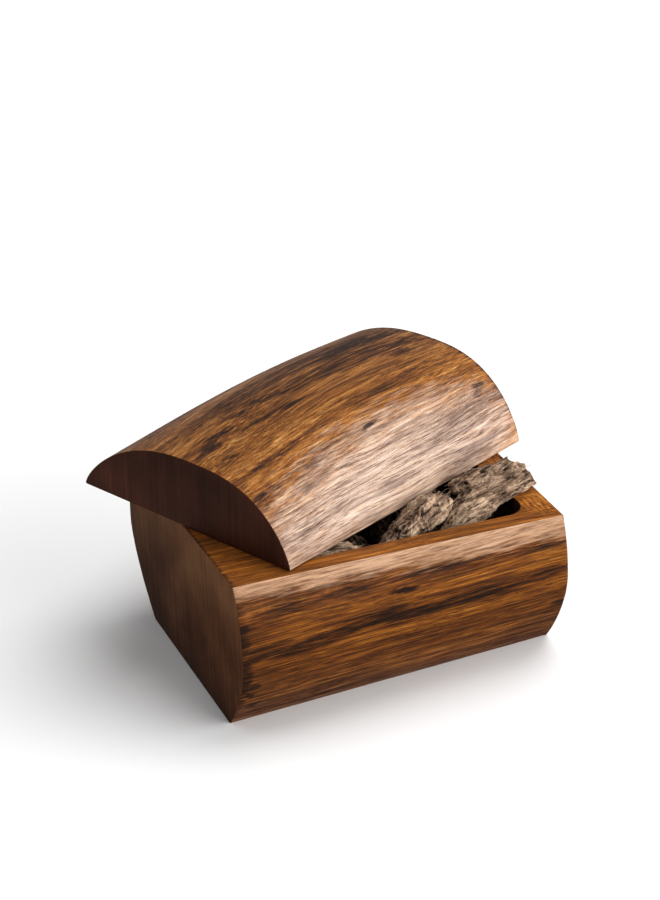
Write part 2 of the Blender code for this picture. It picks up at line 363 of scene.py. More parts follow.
def lidTree():
    # the domed slab: a cube of stations by strips, bent to the log's outline
    tree, given = startTree(
        "domedSlab",
        Float=["length", "width", "widening", "rise", "riseGain", "swell", "lean", "outerPower", "innerPower",
               "edgeEase", "undulation", "fibreRelief"],
        Int=["stations", "across", "easeSteps"],
        Material=["finish"],
    )
    cube = addNode(tree, "GeometryNodeMeshCube", {"Size": (1, 1, 1), "Vertices X": given["stations"],
                                                  "Vertices Y": given["across"], "Vertices Z": 2})
    axes = addNode(tree, "ShaderNodeSeparateXYZ", [addNode(tree, "GeometryNodeInputPosition")]).node.outputs
    along = addNode(tree, mathNode, [axes[0], 0.5], operation="ADD")
    across = addNode(tree, mathNode, [axes[1], 2.0], operation="MULTIPLY")
    top = addNode(tree, mathNode, [axes[2], 0.0], operation="GREATER_THAN")

    # stations near each end close up, so that the sawn edge can be rounded over
    last = addNode(tree, mathNode, [given["stations"], 1], operation="SUBTRACT")
    station = addNode(tree, mathNode, [along, last], operation="MULTIPLY")
    fromFarEnd = addNode(tree, mathNode, [last, station], operation="SUBTRACT")
    fromEnd = addNode(tree, mathNode, [station, fromFarEnd], operation="MINIMUM")
    easeShare = addNode(tree, mathNode, [fromEnd, given["easeSteps"]], operation="DIVIDE", use_clamp=True)
    turn = addNode(tree, mathNode, [easeShare, math.pi / 2], operation="MULTIPLY")
    sine = addNode(tree, mathNode, [turn], operation="SINE")
    cosine = addNode(tree, mathNode, [turn], operation="COSINE")
    inset = addNode(tree, mathNode, [1, sine], operation="SUBTRACT")
    inset = addNode(tree, mathNode, [inset, given["edgeEase"]], operation="MULTIPLY")
    easeReach = addNode(tree, mathNode, [1, cosine], operation="SUBTRACT")
    easeReach = addNode(tree, mathNode, [easeReach, given["edgeEase"]], operation="MULTIPLY")
    past = addNode(tree, mathNode, [fromEnd, given["easeSteps"]], operation="SUBTRACT")
    past = addNode(tree, mathNode, [past, 0], operation="MAXIMUM")
    inner = summed(tree, last, (given["easeSteps"], -2))
    straight = addNode(tree, mathNode, [past, inner], operation="DIVIDE")
    straightLength = summed(tree, given["length"], (given["edgeEase"], -2))
    reach = summed(tree, easeReach, (straight, straightLength))
    mirrored = addNode(tree, mathNode, [given["length"], reach], operation="SUBTRACT")
    farHalf = addNode(tree, mathNode, [along, 0.5], operation="GREATER_THAN")
    x = addNode(tree, "ShaderNodeMix", {0: farHalf, 2: reach, 3: mirrored})
    share = addNode(tree, mathNode, [x, given["length"]], operation="DIVIDE")

    # the dome over each station
    bow = addNode(tree, mathNode, [across, across], operation="MULTIPLY")
    bow = addNode(tree, mathNode, [1, bow], operation="SUBTRACT")
    leaned = summed(tree, across, (bow, given["lean"]))
    leaned = addNode(tree, mathNode, [leaned], operation="ABSOLUTE")
    closing = addNode(tree, mathNode, [leaned, given["outerPower"]], operation="POWER")
    closing = addNode(tree, mathNode, [1, closing], operation="SUBTRACT", use_clamp=True)
    root = addNode(tree, mathNode, [1, given["innerPower"]], operation="DIVIDE")
    dome = addNode(tree, mathNode, [closing, root], operation="POWER")
    halfTurn = addNode(tree, mathNode, [share, math.pi], operation="MULTIPLY")
    swell = addNode(tree, mathNode, [halfTurn], operation="SINE")
    rise = summed(tree, given["rise"], (share, given["riseGain"]), (swell, given["swell"]))
    rise = addNode(tree, mathNode, [rise, given["edgeEase"]], operation="SUBTRACT")
    height = addNode(tree, mathNode, [rise, dome], operation="MULTIPLY")
    height = summed(tree, height, (inset, -2))
    height = addNode(tree, mathNode, [height, 0], operation="MAXIMUM")
    height = addNode(tree, mathNode, [height, given["edgeEase"]], operation="ADD")
    z = summed(tree, inset, (top, height))
    width = summed(tree, given["width"], (share, given["widening"]))
    half = addNode(tree, mathNode, [width, 0.5], operation="MULTIPLY")
    under = addNode(tree, mathNode, [top, 1], operation="SUBTRACT")
    narrowed = summed(tree, half, (under, given["edgeEase"]))
    narrowed = addNode(tree, mathNode, [narrowed, inset], operation="SUBTRACT")
    y = summed(tree, half, (across, narrowed))
    bent = addNode(tree, "ShaderNodeCombineXYZ", [x, y, z])
    slab = addNode(tree, "GeometryNodeSetPosition", {"Geometry": cube, "Position": bent})

    # uneven sanding and raised fibres, on the dome only
    place = addNode(tree, "GeometryNodeInputPosition")
    waves = []
    for size, mean, detail, roughness in (("wave", "waveMean", 1.5, 0.4), ("fibre", "fibreMean", 1, 0.5)):
        run, pitch = lidShape[size]
        scaled = addNode(tree, vectorNode, [place, (1 / run, 1 / pitch, 1 / pitch)], operation="MULTIPLY")
        wave = {"Vector": scaled, "Scale": 1, "Detail": detail, "Roughness": roughness}
        wave = addNode(tree, noiseNode, wave)
        waves.append(addNode(tree, mathNode, [wave, lidShape[mean]], operation="SUBTRACT"))
    lift = addNode(tree, mathNode, [waves[0], given["undulation"]], operation="MULTIPLY")
    lift = summed(tree, lift, (waves[1], given["fibreRelief"]))
    # they fade in between 1.5 and 4 mm above the foot of the dome
    aboveEdge = addNode(tree, mathNode, [z, 0.4, -0.6], operation="MULTIPLY_ADD", use_clamp=True)
    onDome = addNode(tree, mathNode, [top, aboveEdge], operation="MULTIPLY")
    lift = addNode(tree, mathNode, [lift, onDome], operation="MULTIPLY")
    normal = addNode(tree, "GeometryNodeInputNormal")
    push = addNode(tree, vectorNode, {0: normal, "Scale": lift}, operation="SCALE")
    sanded = addNode(tree, "GeometryNodeSetPosition", {"Geometry": slab, "Offset": push})
    return endTree(tree, sanded, given["finish"])


def lidPlace():
    # laid askew on the rim, with its near front corner at the place given
    x, y = lidShape["corner"]
    place = Matrix.Translation(Vector((x, y, rimHeight(x) + lidShape["gap"])) * mm)
    lean = Matrix.Rotation(-math.atan(boxShape["rimSlope"]), 4, "Y")
    turn = Matrix.Rotation(math.radians(lidShape["turn"]), 4, "Z")
    return place @ lean @ turn @ Matrix.Scale(mm, 4)


# Agarwood forms: limbs are (along, across, up, width, thickness) stations, dents are balls pressed in. In mm
forked = {
    "limbs": [
        [(-33, -7, -8, 7, 5), (-28, -7, -8, 14, 9), (-18, -5, -4, 16, 12), (-6, -2, -1, 17, 12),
         (4, -1, 0, 17, 10), (11, -2, 2, 19, 7.5), (16, -3, 3, 19, 6), (23, -4, 3.2, 16, 6)],
        [(-9, 11, 2, 4, 4), (-5, 10, 2, 8, 7), (1, 8, 3, 11, 9), (9, 5, 4, 12, 7), (20, 3, 5, 11, 9)],
    ],
    "dents": [(-7, 5, 5, 4.0), (2, 2, 9, 3.5), (14, 3, 11, 3.5), (-16, -14, 3, 4.0), (12, -12, 6, 3.5)],
}
ribbed = {
    "limbs": [
        [(-19, -1, -3, 4, 3), (-16, 0, -2, 11, 8), (-8, 0, 0, 16, 12), (3, 0, 0, 18, 12), (13, 1, 0, 17, 11),
         (20, 1, 0, 12, 8)],
        [(-10, -4, 3, 4, 4), (-1, -3, 4, 7, 6), (9, -1, 4, 8, 6), (16, 2, 3, 6, 5)],
    ],
    "dents": [(13, 8, 6, 3.5), (-11, 6, 6, 4.0), (3, 10, 4, 3.5)],
    "ribs": [(-14, 17, 3.6, 1.1, 1.0)],  # start, end, pitch, slant, depth
}
knuckle = {
    "limbs": [
        [(-20, -2, 0, 5, 4), (-15, -2, 0, 12, 9), (-5, 0, 1, 17, 12), (7, 2, 0, 18, 13), (16, 1, -1, 12, 9),
         (19, 1, -1, 6, 5)],
    ],
    "dents": [(0, 6, 9, 4.0), (10, -7, 6, 4.0)],
}
splinter = {
    "limbs": [
        [(-27, 2, -1, 6, 5), (-17, 0, 0, 16, 11), (-2, -2, 1, 22, 14), (13, -1, 0, 18, 12),
         (25, 3, -1, 8, 7)],
    ],
    "dents": [(-10, 6, 9, 4.5), (10, -8, 8, 4.5), (21, 5, 6, 3.5)],
}
block = {
    "limbs": [
        [(-26, 0, 0, 15, 12), (-22, 0, 0, 22, 18), (-8, 1, 0, 28, 21), (8, -1, 0, 29, 22), (20, 0, 0, 23, 18),
         (26, 2, -1, 14, 11)],
    ],
    "dents": [(-8, 8, 13, 5.0), (12, -8, 13, 5.0), (0, 15, 5, 4.0)],
}
chunk = {
    "limbs": [
        [(-17, 0, 0, 12, 11), (-12, 1, 0, 19, 17), (0, 0, 0, 22, 19), (11, -1, 0, 18, 16),
         (17, 0, -1, 11, 10)],
    ],
    "dents": [(4, 4, 12, 4.0), (-9, -5, 11, 4.0)],
}
branched = {
    "limbs": [
        [(-26, -4, 0, 10, 8), (-14, -2, 0, 19, 15), (2, 0, 0, 23, 18), (17, -1, 0, 16, 13),
         (26, -3, 1, 8, 7)],
        [(0, 2, 1, 12, 10), (8, 10, 2, 9, 8), (14, 16, 3, 5, 5)],
    ],
    "dents": [(-8, 5, 10, 4.5), (10, -7, 9, 4.0)],
}

# Each piece of the heap: form, middle in x and y (mm), turns about X, Y and Z (degrees), seed, voxel (mm)
heap = {
    "agarwood_piece_1": (forked, (53, -31), (7, -5, 14), 23, 0.34),
    "agarwood_piece_2": (ribbed, (16, -36), (4, -18, 19), 24, 0.32),
    "agarwood_piece_3": (knuckle, (-33, -41), (-6, -2, -8), 22, 0.4),
    "agarwood_piece_4": (splinter, (-7.5, -23), (0, -4, 86), 21, 0.6),
    "agarwood_piece_5": (splinter, (30, 31), (-6, 4, 172), 20, 0.9),
    "agarwood_piece_6": (chunk, (-36, -35), (4, -5, 22), 19, 0.8),
    "agarwood_piece_7": (splinter, (20, -2), (-5, -3, 84), 18, 0.8),
    "agarwood_piece_8": (splinter, (46, -7), (4, -3, 84), 17, 0.8),
    "agarwood_piece_9": (block, (34, 36), (3, -2, 3), 16, 1.0),
    "agarwood_piece_10": (splinter, (-25, 36), (0, 2, -6), 15, 1.0),
    "agarwood_piece_11": (block, (34, 2), (4, 0, 6), 14, 1.0),
    "agarwood_piece_12": (branched, (-27, -1), (0, -2, 8), 13, 1.0),
    "agarwood_piece_13": (block, (33, -33), (-4, 2, -6), 12, 0.9),
    "agarwood_piece_14": (block, (-29, -34), (3, 0, 5), 11, 1.0),
}

# How old, resin-rich wood weathers, in mm
weather = {
    "limbSides": 12,
    "fluteDepth": 2.2,
    "fluteLift": 0.55,
    "flutePitch": 5.2,
    "fluteRun": 30.0,
    "lumpDepth": 1.6,
    "lumpPitch": 10.5,
    "lumpLayers": 3,
    "grooveDepth": 0.95,  # fine grooves along the grain
    "groovePitch": 1.5,
    "grooveRun": 20.0,
    "grooveSharpness": 0.8,
    "hairDepth": 0.38,  # finer grooves between them
    "hairsPerGroove": 2.3,
    "pitDepth": 1.6,
    "pitPitch": 2.3,
    "pitShare": 0.36,  # pits open where their noise rises past this
    "ribFade": 3.0,
    "ribCentre": -2.5,
    "ribSpread": 0.05,  # the ribs fan out along the piece
    "ribSway": (3.5, 6.0),  # how far they wander, and over what length
    "ribJitter": (1.3, 1.7),
    "ribSharpness": 0.7,
    "ribEvenness": 0.55,
    "ribPatch": 4.0,
    "surfaceLift": 0.35,
    "seedStride": (3.7, 1.3, 2.1),
}

# Painted shade and resin in the hollows: how dark each hollow looks, the weight of its depth, and what is
# open to the light anyway
resinAndShadeWeights = {
    "groove": 0.8,
    "pit": 1.4,
    "furrow": 0.3,
    "flute": 0.8,
    "fluteFrom": 0.3,
    "dent": 0.5,
    "open": 0.25,
}


def limbRings(limb):
    middles = [Vector(station[:3]) for station in limb]
    turns = [2 * math.pi * side / weather["limbSides"] for side in range(weather["limbSides"])]
    rings = []
    for i, (_, _, _, width, thickness) in enumerate(limb):
        ahead = (middles[min(i + 1, len(limb) - 1)] - middles[max(i - 1, 0)]).normalized()
        sideways = Vector((0, 0, 1)).cross(ahead).normalized()
        upward = ahead.cross(sideways)
        rings.append(np.array([middles[i] + sideways * width / 2 * math.cos(turn)
                               + upward * thickness / 2 * math.sin(turn) for turn in turns]))
    return rings


def furrowDepth(point, shift, start, end, pitch, slant, depth):
    # the furrows between fanned ribs, from one place to another along the piece
    w = weather
    within = min(1, max(0, (point.x - start) / w["ribFade"]), max(0, (end - point.x) / w["ribFade"]))
    sway, swayRun = w["ribSway"]
    jitter, jitterRun = w["ribJitter"]
    fan = slant * abs(point.y - w["ribCentre"]) * (1 + w["ribSpread"] * point.x)
    fan += sway * noise.noise(point / swayRun + shift)
    wave = abs(math.sin(math.pi * (point.x + fan + jitter * noise.noise(point / jitterRun)) / pitch))
    patch = w["ribEvenness"] + noise.noise(point / w["ribPatch"] - shift)
    return depth * within * wave ** w["ribSharpness"] * patch


def weatheredPoint(point, normal, seed, form):
    # the flutes, lumps and dents are the solid's own; the fine grooves, pits and ribs are added here
    w = weather
    shift = seed * Vector(w["seedStride"])
    grain = Vector((point.x / w["fluteRun"], point.y / w["flutePitch"], point.z / w["flutePitch"]))
    flute = abs(noise.noise(grain + shift))
    lumps = w["lumpDepth"] * noise.fractal(point / w["lumpPitch"] + shift, 1.0, 2.0, w["lumpLayers"])
    moved = point + normal * (w["fluteLift"] - w["fluteDepth"] * flute + lumps)
    dent = 0.0
    for x, y, z, radius in form["dents"]:
        away = moved - Vector((x, y, z))
        if away.length < radius:
            dent = max(dent, 1 - away.length / radius)
            moved = moved + away.normalized() * (radius - away.length)
    fine = Vector((point.x / w["grooveRun"], point.y / w["groovePitch"], point.z / w["groovePitch"]))
    groove = w["grooveDepth"] * abs(noise.noise(fine + shift)) ** w["grooveSharpness"]
    groove += w["hairDepth"] * abs(noise.noise(w["hairsPerGroove"] * fine - shift))
    pit = noise.noise(Vector((point.x / 2, point.y, point.z)) / w["pitPitch"] + shift)
    pit = w["pitDepth"] * max(0.0, pit - w["pitShare"])
    furrow = sum(furrowDepth(point, shift, *ribs) for ribs in form.get("ribs", ()))
    # painted shade with the resin: the deeper a groove, pit, furrow, flute or dent, the darker it is coloured
    h = resinAndShadeWeights
    resinAndShade = h["groove"] * groove + h["pit"] * pit + h["furrow"] * furrow
    resinAndShade += h["flute"] * max(0, flute - h["fluteFrom"]) + h["dent"] * dent - h["open"]
    return moved + normal * (w["surfaceLift"] - groove - pit - furrow), min(1.0, max(0.0, resinAndShade))


# Frayed fibres that stand off each piece, in mm
frayed = {
    "perSquareMm": 0.09,
    "slenderness": 24.0,
    "thickness": 0.11,
    "lengthSpread": 0.6,
    "tilt": 0.1,
    "wobble": 0.22,
    "sides": 4,
}


def frayedTree():
    # thin slivers strewn over a piece, lying along its grain, realized and joined to it
    tree, given = startTree(
        "frayedFibres",
        Geometry=["Geometry"],
        Float=["perSquareMm", "slenderness", "thickness", "lengthSpread", "tilt", "wobble"],
        Int=["sides", "seed"],
        Material=["finish"],
    )
    strewn = addNode(tree, "GeometryNodeDistributePointsOnFaces",
                     {"Mesh": given["Geometry"], "Density": given["perSquareMm"], "Seed": given["seed"]})
    normal = strewn.node.outputs["Normal"]
    sliver = addNode(tree, "GeometryNodeMeshUVSphere",
                     {"Segments": given["sides"], "Rings": given["sides"], "Radius": given["thickness"]})
    # the sliver points along the grain (the piece's own X), lifted a little towards the surface normal
    lifted = addNode(tree, vectorNode, {0: normal, "Scale": given["tilt"]}, operation="SCALE")
    minus = addNode(tree, mathNode, [given["wobble"], -1], operation="MULTIPLY")
    lowest = addNode(tree, "ShaderNodeCombineXYZ", [1, minus, minus])
    highest = addNode(tree, "ShaderNodeCombineXYZ", [1, given["wobble"], given["wobble"]])
    aim = addNode(tree, "FunctionNodeRandomValue", {0: lowest, 1: highest, "Seed": given["seed"]},
                  data_type="FLOAT_VECTOR")
    aim = addNode(tree, vectorNode, [aim, lifted], operation="ADD")
    turned = addNode(tree, "FunctionNodeAlignRotationToVector", {"Vector": aim}, axis="Z")
    least = addNode(tree, mathNode, [1, given["lengthSpread"]], operation="SUBTRACT")
    most = addNode(tree, mathNode, [1, given["lengthSpread"]], operation="ADD")
    stretch = addNode(tree, "FunctionNodeRandomValue", {2: least, 3: most, "Seed": given["seed"]},
                      data_type="FLOAT").node.outputs[1]
    stretch = addNode(tree, mathNode, [stretch, given["slenderness"]], operation="MULTIPLY")
    scale = addNode(tree, "ShaderNodeCombineXYZ", [1, 1, stretch])
    slivers = addNode(tree, "GeometryNodeInstanceOnPoints",
                      {"Points": strewn, "Instance": sliver, "Rotation": turned, "Scale": scale})
    joined = tree.nodes.new("GeometryNodeJoinGeometry")
    tree.links.new(slivers, joined.inputs[0])
    tree.links.new(given["Geometry"], joined.inputs[0])
    return endTree(tree, joined.outputs[0], given["finish"])


def makeAgarwood(name, form, middle, turns, seed, voxel, finish, fibres):
    grown = bmesh.new()
    for limb in form["limbs"]:
        part = loft("limb", limbRings(limb))
        grown.from_mesh(part.data)
        bpy.data.objects.remove(part)
    mesh = bpy.data.meshes.new(name)
    grown.to_mesh(mesh)
    grown.free()
    piece = bpy.data.objects.new("rough", mesh)
    bpy.context.scene.collection.objects.link(piece)
    knit = piece.modifiers.new("Grown together", "REMESH")
    knit.mode = "VOXEL"
    knit.voxel_size = voxel
    piece = finished(piece, "weathered")
    worn = [weatheredPoint(v.co, v.normal, seed, form) for v in piece.data.vertices]
    for vertex, (point, _) in zip(piece.data.vertices, worn):
        vertex.co = point
    resinAndShade = piece.data.attributes.new("resinAndShade", "FLOAT", "POINT")
    resinAndShade.data.foreach_set("value", np.array([depth for _, depth in worn], np.float32))
    grainPlace = piece.data.attributes.new("grainPlace", "FLOAT_VECTOR", "POINT")
    own = np.array([point[:] for point, _ in worn], np.float32)
    grainPlace.data.foreach_set("vector", own.ravel())
    piece.data.materials.append(finish)
    values = dict(frayed, seed=seed, finish=finish)
    piece = finished(growWithTree(piece, fibres, values), "dressed_" + name)
    turn = Euler([math.radians(angle) for angle in turns]).to_matrix().to_4x4()
    piece.data.transform(Matrix.Scale(mm, 4) @ turn)
    heights = [v.co.z for v in piece.data.vertices]
    low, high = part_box(name)
    lift = (low.z + high.z - min(heights) - max(heights)) / 2
    piece.data.transform(Matrix.Translation((middle[0] * mm, middle[1] * mm, lift)))
    piece.data.shade_smooth()
    return piece


def startMaterial(name, constants):
    material = bpy.data.materials.new(name)
    material.use_nodes = True
    shader = material.node_tree.nodes["Principled BSDF"]
    for socket, value in constants.items():
        shader.inputs[socket].default_value = value
    return material, material.node_tree, shader


def grainNoise(tree, place, run, pitch, shift=0.0, detail=2.0, roughness=0.5):
    # noise drawn out along the grain: run and pitch are its real sizes in mm
    stretch = (1 / run, 1 / pitch, 1 / pitch)
    moved = (shift, 1.7 * shift, -shift)
    scaled = addNode(tree, vectorNode, [place, stretch, moved], operation="MULTIPLY_ADD")
    return addNode(tree, noiseNode, {"Vector": scaled, "Scale": 1, "Detail": detail, "Roughness": roughness})


# The hardwood's own grain: run along it and pitch across it in mm, levels and depths as shares
hardwoodGrain = {
    "wanderPitch": 24.0,
    "bandRun": 95.0,
    "streak": (75.0, 1.9),
    "thread": (22.0, 0.78),
    "pore": (9.0, 0.5),  # real pores are 0.2 mm wide, drawn coarser to show
    "poreLevels": (0.56, 0.68),
    "veinLevel": 0.53,
    "veinHalfWidth": 0.016,
    "mineralRun": 42.0,
    "mineralLevels": (0.53, 0.66),
    "patch": (17.0, 1.5),  # the ragged edge of dark marks and pale patches
    "patchEdge": (3.2, -0.35),  # how far it strays, and from where
    "patchRise": 0.9,
    "patchThreads": (-2.2, 1.9),  # lets light threads run on through a mark
    "knotDepth": 0.36,
    "knotCore": 0.25,
    "knotScale": 0.35,
    "knotBlur": (6.0, 2.4, 0.0),  # a knot's outline wavers by this
    "quiltPitch": (1.2, 5.0),
    "quiltDepth": (1.5, -0.6),
    "poreRoughness": 0.22,
    "streakRoughness": -0.16,
    "dryLevels": (0.2, 0.55),  # dark figure drinks the oil and looks drier
    "dryRoughness": 0.22,
    "streakRelief": 0.6,
    "poreRelief": -0.5,
}


def patches(tree, marksAndPaintedLight, shift):
    # ragged patches at chosen places: (along, across, half length, half width, slope, depth)
    g = hardwoodGrain
    figure = addNode(tree, attributeNode, attribute_name="figurePlace").node.outputs["Vector"]
    ragged = grainNoise(tree, figure, *g["patch"], shift, 3, 0.65)
    x, s, _ = addNode(tree, "ShaderNodeSeparateXYZ", [figure]).node.outputs
    total = None
    for alongPlace, acrossPlace, halfLength, halfWidth, slope, depth in marksAndPaintedLight:
        u = addNode(tree, mathNode, [x, alongPlace], operation="SUBTRACT")
        v = summed(tree, s, (u, -slope))
        v = addNode(tree, mathNode, [v, acrossPlace], operation="SUBTRACT")
        u = addNode(tree, mathNode, [u, 1 / halfLength], operation="MULTIPLY")
        v = addNode(tree, mathNode, [v, 1 / halfWidth], operation="MULTIPLY")
        square = addNode(tree, mathNode, [u, u], operation="MULTIPLY")
        square = summed(tree, square, (v, v))
        reach = addNode(tree, mathNode, [ragged, *g["patchEdge"]], operation="MULTIPLY_ADD")
        inside = addNode(tree, mathNode, [reach, square], operation="SUBTRACT")
        rise = g["patchRise"] * depth
        inside = addNode(tree, mathNode, [inside, rise], operation="MULTIPLY", use_clamp=True)
        capped = addNode(tree, mathNode, [inside, depth], operation="MINIMUM")
        total = capped if total is None else addNode(tree, mathNode, [total, capped], operation="MAXIMUM")
    return total


def roundSpots(tree, figure, places):
    # soft-edged spots at chosen places: (along, across, half length, half width)
    total = None
    for alongPlace, acrossPlace, halfLength, halfWidth in places:
        away = addNode(tree, vectorNode, [figure, (alongPlace, acrossPlace, 0)], operation="SUBTRACT")
        size = (1 / halfLength, 1 / halfWidth, 0)
        away = addNode(tree, vectorNode, [away, size], operation="MULTIPLY")
        away = addNode(tree, vectorNode, [away], operation="LENGTH").node.outputs["Value"]
        spot = [away, 1.0, hardwoodGrain["knotCore"]]
        spot = addNode(tree, rangeNode, spot, interpolation_type="SMOOTHSTEP")
        total = spot if total is None else addNode(tree, mathNode, [total, spot], operation="MAXIMUM")
    return total


def hardwoodFinish(name, look):
    # sanded and oiled ring-porous hardwood: long streaks, dark mineral lines, short open pores, a satin film
    g = hardwoodGrain
    shift = look["shift"]
    material, tree, shader = startMaterial(name, {"IOR": 1.5, "Specular IOR Level": look["gloss"]})
    own = addNode(tree, attributeNode, attribute_name="woodPlace").node.outputs["Vector"]
    wander = grainNoise(tree, own, look["wanderRun"], g["wanderPitch"], shift + 3, 1)
    sway = [wander, look["wander"], -look["wander"] / 2]
    wander = addNode(tree, mathNode, sway, operation="MULTIPLY_ADD")
    sideways = addNode(tree, "ShaderNodeCombineXYZ", [0, wander, wander])
    place = addNode(tree, vectorNode, [own, sideways], operation="ADD")

    # how light the wood is: bands, streaks and threads, less its pores, veins, marks and knots
    band = grainNoise(tree, place, g["bandRun"], look["bandPitch"], shift, 2)
    streak = grainNoise(tree, place, *g["streak"], shift + 1, 4, 0.6)
    thread = grainNoise(tree, place, *g["thread"], shift + 2, 4, 0.72)
    pore = grainNoise(tree, place, *g["pore"], shift + 5, 1)
    pore = addNode(tree, rangeNode, [pore, *g["poreLevels"]])
    tone = summed(tree, look["tone"], (band, look["bandDepth"]), (streak, look["streakDepth"]),
                  (thread, look["threadDepth"]), (pore, -look["poreDepth"]))
    vein = addNode(tree, mathNode, [streak, g["veinLevel"]], operation="SUBTRACT")
    vein = addNode(tree, mathNode, [vein], operation="ABSOLUTE")
    vein = addNode(tree, rangeNode, [vein, g["veinHalfWidth"], 0, 0, look["veinDepth"]])
    tone = addNode(tree, mathNode, [tone, vein], operation="SUBTRACT")
    mean = (look["bandDepth"] + look["streakDepth"] + look["threadDepth"]) / 2
    tone = addNode(tree, mathNode, [tone, mean], operation="SUBTRACT")
    # the marks include painted shade on the lid's crest
    if look["marksAndPaintedLight"]:
        markAndShade = patches(tree, look["marksAndPaintedLight"], shift)
        threaded = [thread, *g["patchThreads"]]
        threaded = addNode(tree, mathNode, threaded, operation="MULTIPLY_ADD", use_clamp=True)
        markAndShade = addNode(tree, mathNode, [markAndShade, threaded], operation="MULTIPLY")
        tone = summed(tree, tone, (markAndShade, -look["markAndShadeDepth"]))
    if look["knots"]:
        figure = addNode(tree, attributeNode, attribute_name="figurePlace").node.outputs["Vector"]
        blur = addNode(tree, noiseNode, {"Vector": figure, "Scale": g["knotScale"], "Detail": 3})
        blur = blur.node.outputs["Color"]
        blur = addNode(tree, vectorNode, [blur, g["knotBlur"], figure], operation="MULTIPLY_ADD")
        centred = [size / 2 for size in g["knotBlur"]]
        blur = addNode(tree, vectorNode, [blur, centred], operation="SUBTRACT")
        tone = summed(tree, tone, (roundSpots(tree, blur, look["knots"]), -g["knotDepth"]))
    if look["quilt"]:
        where = roundSpots(tree, own, look["quilt"])
        alongPitch, acrossPitch = g["quiltPitch"]
        ripple = addNode(tree, vectorNode, [own, (1 / alongPitch, 1 / acrossPitch, 0)], operation="MULTIPLY")
        ripple = addNode(tree, noiseNode, {"Vector": ripple, "Scale": 1, "Detail": 1})
        ripple = addNode(tree, mathNode, [ripple, *g["quiltDepth"]], operation="MULTIPLY_ADD")
        tone = summed(tree, tone, (where, ripple))

    # golden heartwood with grey-brown mineral lines, and where the pale patches lie, paler sapwood with a
    # painted sheen: a light pinkish ramp and grey-violet lines that stand in for the satin highlight
    mineral = grainNoise(tree, place, g["mineralRun"], look["mineralPitch"], shift + 9, 3, 0.62)
    mineral = addNode(tree, rangeNode, [mineral, *g["mineralLevels"], 0, look["mineral"]])
    colour = addNode(tree, "ShaderNodeValToRGB", [tone], stops=look["ramp"])
    mixed = {0: mineral, 6: colour, 7: linearColour(look["mineralTint"])}
    colour = addNode(tree, "ShaderNodeMix", mixed, data_type="RGBA").node.outputs[2]
    if look["paleSapwoodAndSheen"]:
        sapwoodAndSheen = addNode(tree, "ShaderNodeValToRGB", [tone], stops=look["sapwoodAndSheenRamp"])
        mixed = {0: mineral, 6: sapwoodAndSheen, 7: linearColour(look["sapwoodAndSheenMineral"])}
        sapwoodAndSheen = addNode(tree, "ShaderNodeMix", mixed, data_type="RGBA").node.outputs[2]
        mixed = {0: patches(tree, look["paleSapwoodAndSheen"], shift + 2), 6: colour, 7: sapwoodAndSheen}
        colour = addNode(tree, "ShaderNodeMix", mixed, data_type="RGBA").node.outputs[2]
    tree.links.new(colour, shader.inputs["Base Color"])

    rough = summed(tree, look["roughness"], (pore, g["poreRoughness"]), (streak, g["streakRoughness"]))
    dry = addNode(tree, rangeNode, [tone, *g["dryLevels"], g["dryRoughness"], 0])
    rough = addNode(tree, mathNode, [rough, dry], operation="ADD")
    tree.links.new(rough, shader.inputs["Roughness"])
    relief = summed(tree, thread, (streak, g["streakRelief"]), (pore, g["poreRelief"]))
    bump = {"Strength": 1, "Distance": look["relief"] * mm, "Height": relief}
    tree.links.new(addNode(tree, "ShaderNodeBump", bump), shader.inputs["Normal"])
    return material


goldenRamp = [(0.0, "#20120a"), (0.2, "#3b210f"), (0.4, "#613816"), (0.58, "#89521f"), (0.76, "#a67036"),
              (1.0, "#caa068")]
sideRamp = [(0.0, "#1e1008"), (0.2, "#351c0b"), (0.4, "#562d0f"), (0.58, "#754315"), (0.76, "#955c21"),
            (1.0, "#bd8648")]
rimRamp = [(0.0, "#2a1508"), (0.25, "#4f280b"), (0.5, "#774416"), (0.75, "#9c5a1a"), (1.0, "#b97a35")]

